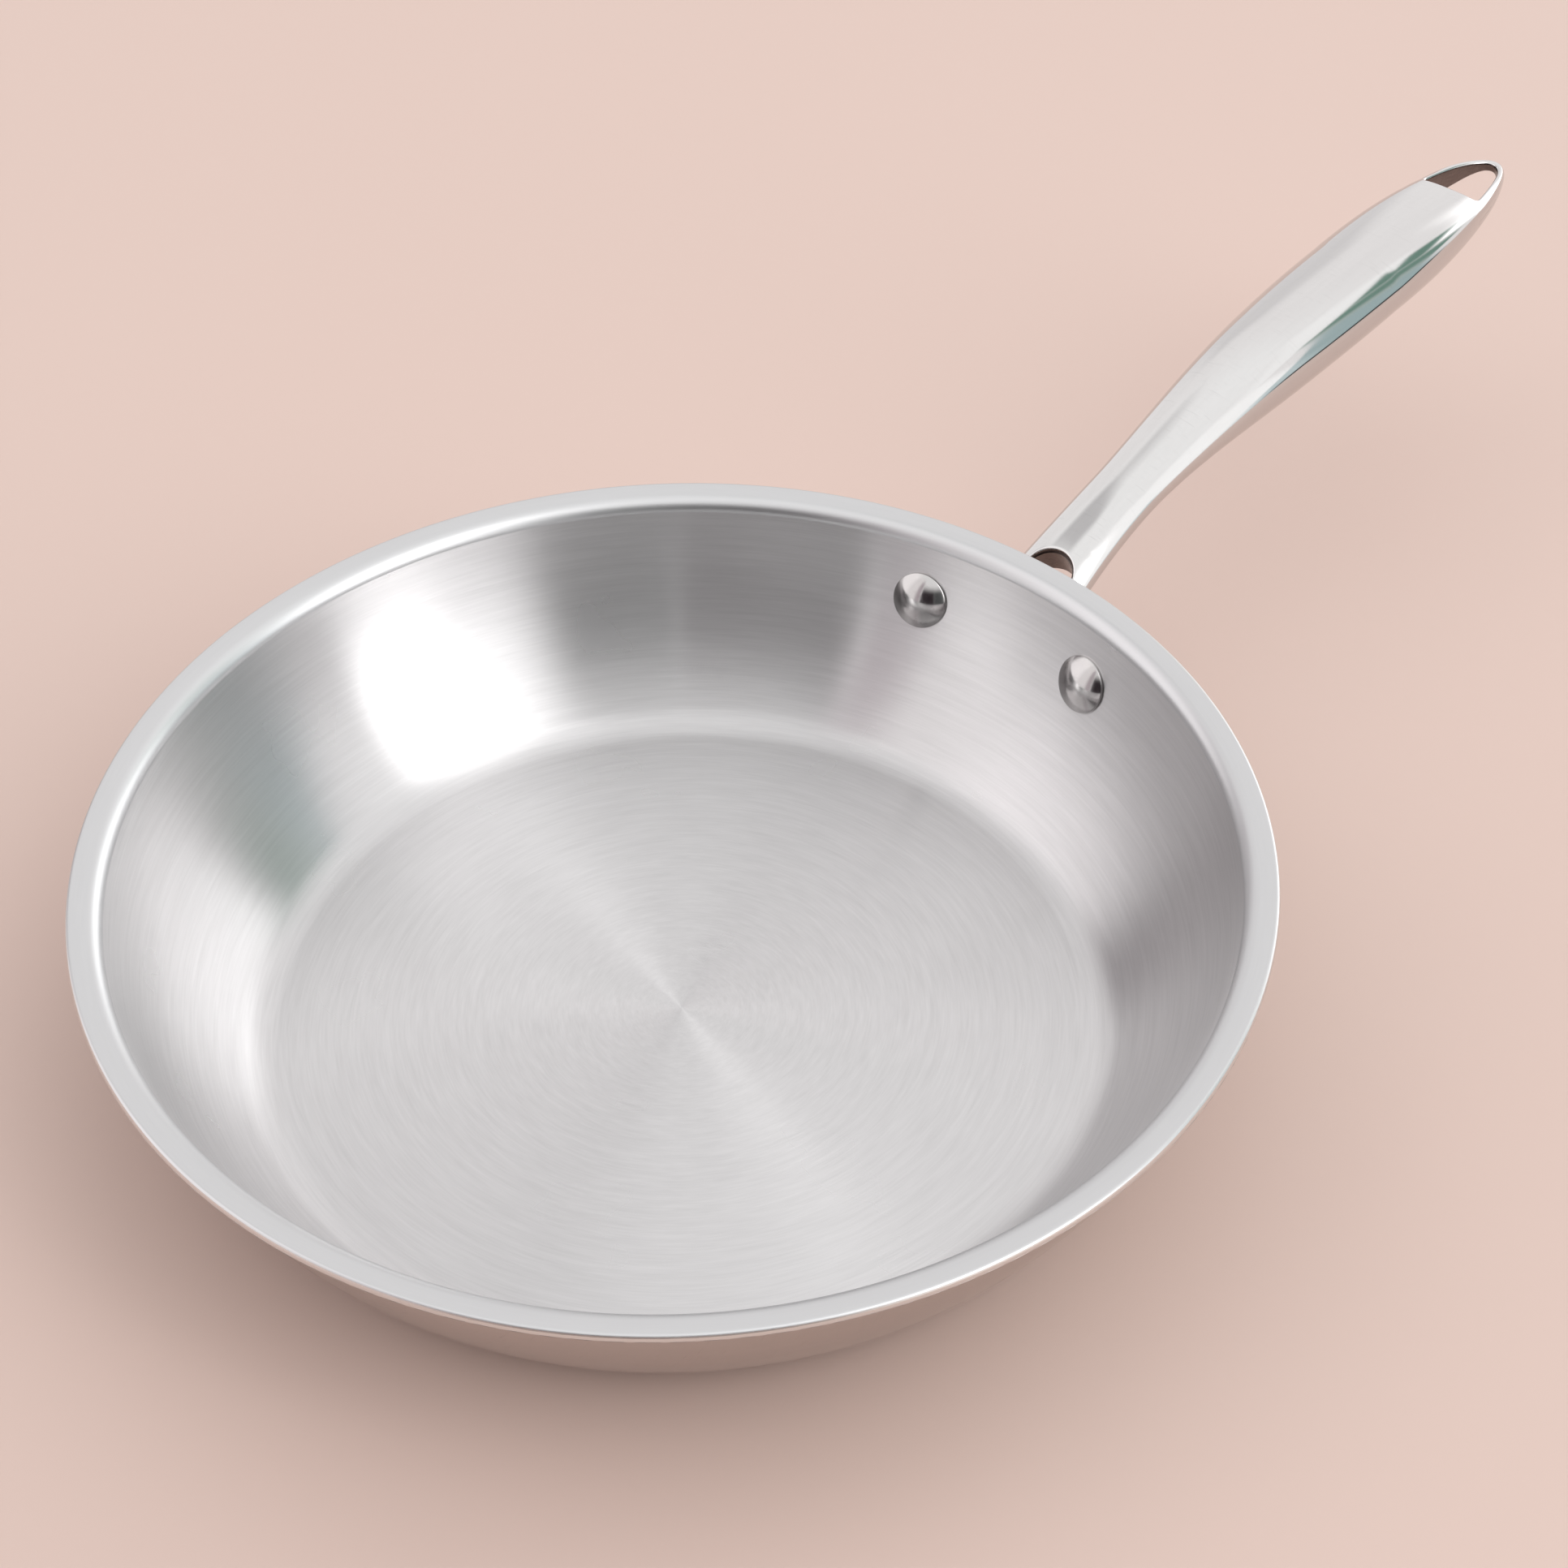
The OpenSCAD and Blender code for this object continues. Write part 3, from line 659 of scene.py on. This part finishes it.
flange = make_piece("flange_plate", [(flange_grid, flange_grid[..., 1:] / uv_mm)])
brushed_steel = steel("brushed_steel", (0.64, 0.63, 0.63), 0.32, handle_lines,
                      {"Lines per mm": 1.5}, 0.05, 0.08)
finish_piece(flange, "handle_flange", "satin_flange", brushed_steel)


# Neck weld
# The bead that joins both shells to the flange, laid round the neck in small ripples. Its path is
# the shells' outer roots, and its section is a circle square to the path.
bead_r, ripple, ripple_l = 0.85, 0.06, 0.9
path = np.concatenate([shell_roots[0], shell_roots[1][-2:0:-1]])
path = np.concatenate([path, path[:1]])
tail = np.r_[0, np.cumsum(np.linalg.norm(np.diff(path, axis=0), axis=1))]
even = np.linspace(0, tail[-1], 301)
path = np.stack([np.interp(even, tail, v) for v in path.T], -1)
path[-1] = path[0]
ahead = np.roll(path[:-1], -1, 0) - np.roll(path[:-1], 1, 0)
ahead = np.concatenate([ahead, ahead[:1]]) / np.linalg.norm(ahead, axis=1).mean()
from_axis = np.hypot(path[:, 0], path[:, 1])
off = np.stack([path[:, 0] * (from_axis - wall_c[0]) / from_axis,
                path[:, 1] * (from_axis - wall_c[0]) / from_axis,
                path[:, 2] - wall_c[1]], -1)
off /= np.linalg.norm(off, axis=1, keepdims=True)
across = np.cross(ahead, off)
across /= np.linalg.norm(across, axis=1, keepdims=True)
bead = bead_r * (1 + ripple * np.cos(2 * np.pi * even * round(tail[-1] / ripple_l) / tail[-1]))
round_a = np.linspace(0, 2 * np.pi, 17)
round_a[-1] = 0
weld_grid = path[:, None] + bead[:, None, None] * (np.cos(round_a)[None, :, None] * off[:, None]
                                                   + np.sin(round_a)[None, :, None] * across[:, None])
neck_weld = make_piece("neck_weld", [with_uv(weld_grid)])
neck_weld.data.materials.append(brushed_steel)
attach(neck_weld, "root")


# Rivets
# Solid stainless, 6 mm in the shank: a polished domed head inside the bowl with a thin upright edge,
# and a lower head formed on the outside against the flange.
head_d, dome_h, head_edge = 12.8, 2.3, 0.5
shank_d, tail_d, tail_h, tail_edge = 6.0, 10.5, 2.0, 0.3
head_seat = head_d ** 2 / 8 / wall_r
rivet_turn = np.arcsin(rivet_gap / 2 / rivet_p[0])


def cap(diameter, height, edge):
    """Outline (r, h) of a head: a spherical cap that is rounded over a small radius into an upright edge."""
    ball = (diameter ** 2 / 4 + height ** 2) / 2 / height
    ease = 0.35
    corner = diameter / 2 - ease
    sink = np.sqrt((ball - ease) ** 2 - corner ** 2)
    tilt = np.arctan2(corner, sink)
    dome = np.linspace(0, tilt, 28, endpoint=False)
    side = np.linspace(tilt, np.pi / 2, 7)
    return np.concatenate([np.stack([ball * np.sin(dome), ball * np.cos(dome)], -1),
                           np.stack([corner + ease * np.sin(side), sink + ease * np.cos(side)], -1),
                           [[diameter / 2, ball - height - edge]]]) - [0, ball - height - edge]


head = cap(head_d, dome_h, head_edge) * [1, -1] - [0, head_seat]
tail_cap = cap(tail_d, tail_h - tail_edge, tail_edge) + [0, joint_t]
rivet_line = np.concatenate([head, [[shank_d / 2, -head_seat], [shank_d / 2, joint_t]], tail_cap[::-1]])
rivet_grid, rivet_uv = spin(rivet_line, 96)
lean = np.pi - rivet_th
rivet_steel = steel("rivet_steel", (0.53, 0.515, 0.51), 0.15, rings,
                    {"Lines per mm": 1.2, "Streaks per turn": 6.0}, 0.03, 0.03, aniso=0.4, hair=0.3)
for name, node, side in (("rivet_a", "rivet_left", 1), ("rivet_b", "rivet_right", -1)):
    x, y, z = np.moveaxis(rivet_grid, -1, 0)
    x, z = (x * np.cos(lean) + z * np.sin(lean) + rivet_p[0],
            z * np.cos(lean) - x * np.sin(lean) + rivet_p[1])
    a = side * rivet_turn
    placed = np.stack([x * np.cos(a) - y * np.sin(a), x * np.sin(a) + y * np.cos(a), z], -1)
    rivet = make_piece(name, [(placed, rivet_uv)])
    finish_piece(rivet, node, "polished_rivet", rivet_steel)


# The floor and the light
# A plain pale table top, one large soft window on the right, and a room of soft bright and dark
# zones that the steel mirrors. Past the table's edge the camera sees a plain pale backdrop.
table_half, table_z = 20, -0.0002
corners = [(x * table_half, y * table_half, table_z) for x, y in ((-1, -1), (1, -1), (1, 1), (-1, 1))]
table_mesh = bpy.data.meshes.new("table_top")
table_mesh.from_pydata(corners, [], [(0, 1, 2, 3)])
table_top = bpy.data.objects.new("table_top", table_mesh)
scene.collection.objects.link(table_top)
pale_table = bpy.data.materials.new("pale_table")
pale_table.use_nodes = True
paint = pale_table.node_tree.nodes["Principled BSDF"].inputs
paint["Base Color"].default_value = (0.62, 0.475, 0.42, 1)
paint["Roughness"].default_value = 0.7
table_mesh.materials.append(pale_table)

# The room by direction: bearing from +X round towards +Y, and height above the horizon, in degrees
world = bpy.data.worlds.new("studio")
world.use_nodes = True
scene.world = world
room = world.node_tree
towards = add_node(room, "ShaderNodeTexCoord").outputs["Generated"]
ray = add_node(room, "ShaderNodeSeparateXYZ", {0: towards}).outputs
bearing_node = math_node(room, "MULTIPLY", math_node(room, "ARCTAN2", ray[1], ray[0]), 180 / np.pi)
height_node = math_node(room, "MULTIPLY", math_node(room, "ARCSINE", ray[2]), 180 / np.pi)


def zone(bearings, heights, softs, tilt=0.0):
    """Mask that is 1 between two bearings and two heights, with smooth edges of the widths given.
    The heights grow by the tilt for each degree from the first bearing."""
    mask = 1.0
    raised = math_node(room, "MULTIPLY", math_node(room, "SUBTRACT", bearing_node, bearings[0]), tilt)
    level = math_node(room, "SUBTRACT", height_node, raised)
    for value, limits, soft in ((bearing_node, bearings, softs[:2]), (level, heights, softs[2:])):
        for limit, width, way in ((limits[0], soft[0], 1), (limits[1], soft[1], -1)):
            start, end = limit - way * width / 2, limit + way * width / 2
            step = add_node(room, "ShaderNodeMapRange", {0: value, 1: start, 2: end},
                            interpolation_type="SMOOTHSTEP")
            mask = math_node(room, "MULTIPLY", step.outputs[0], mask)
    return mask


# Each row is a zone's colour, bearings, heights, soft edges and any tilt, and lies over the rows
# before it. The dark wall is behind the camera, at bearings -177 to -108, and the window beside it.
# The handle's side mirrors the blue-green zones from -60 to -12.
room_light, backdrop = (1.10, 1.08, 1.08, 1), (0.83, 0.79, 0.77, 1)
light = add_node(room, "ShaderNodeRGB")
light.outputs[0].default_value = room_light
shade = light.outputs[0]
for colour, bearings, heights, softs, *tilt in (
        ((1.2, 1.2, 1.2), (-400, 400), (50, 200), (1, 1, 30, 1)),
        ((2.6, 2.6, 2.6), (-24, 14), (-90, 29), (8, 14, 1, 14)),
        ((0.90, 0.88, 0.885), (34, 56), (-90, 30), (10, 10, 1, 10)),
        ((1.5, 1.45, 1.46), (98, 148), (-90, 60), (12, 12, 1, 20)),
        ((1.2, 1.16, 1.16), (142, 172), (-90, 60), (14, 8, 1, 20)),
        ((0.64, 0.56, 0.59), (168, 183), (-90, 56), (8, 4, 1, 16)),
        ((0.30, 0.26, 0.275), (80, 94), (-90, 40), (8, 12, 1, 20)),
        ((0.72, 0.71, 0.715), (54, 80), (50, 71), (14, 14, 8, 8)),
        ((0.04, 0.03, 0.035), (-177, -139.7), (-90, 42), (2, 2, 1, 22)),
        ((0.10, 0.105, 0.105), (-139.3, -108), (-90, 42), (2, 16, 1, 22)),
        ((1.9, 1.9, 1.9), (-108, -66), (2, 76), (20, 10, 6, 18)),
        ((4.0, 4.0, 4.0), (-88, -70), (8, 60), (16, 12, 16, 22)),
        ((1.35, 1.35, 1.35), (-71, -53), (2, 66), (8, 6, 6, 14)),
        ((1.25, 1.25, 1.25), (-54, -6), (41, 53), (6, 10, 1, 10)),
        ((0.70, 0.82, 0.84), (-60, -50), (-150, 12), (6, 4, 1, 2), 1.25),
        ((0.46, 0.59, 0.60), (-52, -38), (-150, 22), (5, 7, 1, 2), 1.25),
        ((0.20, 0.34, 0.28), (-38, -28), (14, 41), (8, 6, 6, 2)),
        ((0.19, 0.33, 0.27), (-28, -12), (30, 41), (5, 6, 6, 2)),
        ((0.01, 0.012, 0.012), (-57, -37), (-90, 4), (4, 6, 1, 4))):
    mask = zone(bearings, heights, softs, *tilt)
    mix = add_node(room, "ShaderNodeMix", {"Factor": mask, 6: shade, 7: (*colour, 1)}, data_type="RGBA")
    shade = mix.outputs[2]
seen = add_node(room, "ShaderNodeLightPath").outputs["Is Camera Ray"]
surround = add_node(room, "ShaderNodeMix", {"Factor": seen, 6: shade, 7: backdrop}, data_type="RGBA")
room.links.new(surround.outputs[2], room.nodes["Background"].inputs["Color"])


def soft_box(name, bearing, height, distance, size, power):
    """A rectangular lamp that looks at the pan from a bearing and height in degrees, at a distance in
    metres."""
    lamp = bpy.data.lights.new(name, "AREA")
    lamp.shape, lamp.size, lamp.size_y, lamp.energy = "RECTANGLE", *size, power
    box = bpy.data.objects.new(name, lamp)
    a, e = np.radians((bearing, height))
    box.location = distance * np.array([np.cos(a) * np.cos(e), np.sin(a) * np.cos(e), np.sin(e)])
    box.rotation_euler = (np.pi / 2 - e, 0, a + np.pi / 2)
    scene.collection.objects.link(box)


soft_box("window", -77, 41, 1.4, (0.5, 1.1), 1.6)
